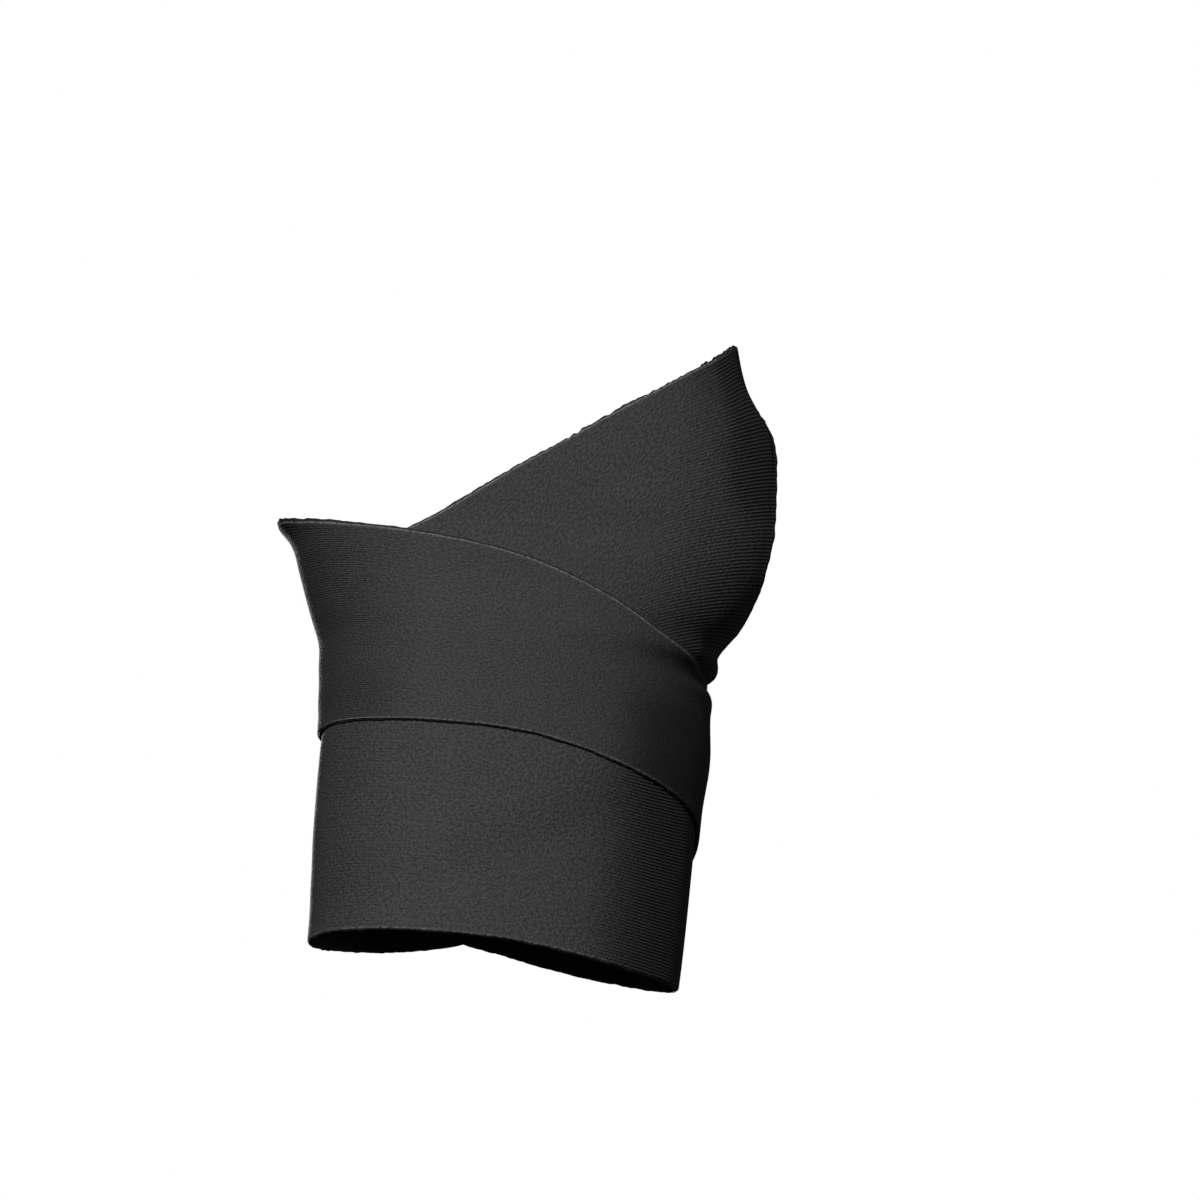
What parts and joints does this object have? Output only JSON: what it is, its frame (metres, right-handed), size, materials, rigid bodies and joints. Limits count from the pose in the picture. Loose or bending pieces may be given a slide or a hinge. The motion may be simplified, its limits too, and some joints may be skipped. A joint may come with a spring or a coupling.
{
  "type": "wrist wrap",
  "caption": "Thin black stretch-fabric wrist wrap with a thumb opening, in its worn form: across the back of the hand, round the wrist, with a narrow tail fastened on the palm.",
  "frame": {"origin": "centre of the wrist, level with the wrist joint", "axes": "+Z from the elbow to the hand, +X to the thumb side of a left hand, -Y out of the back of the hand, +Y out of the palm"},
  "size_m": [0.0815, 0.0545, 0.1093],
  "materials": {
    "stretch_fabric": "matt knit face, raw cut edges",
    "hook_tape": "woven hook tape"
  },
  "bodies": {
    "root": {"wrap_band": "stretch_fabric", "hook_patch": "hook_tape"}
  },
  "joints": []
}
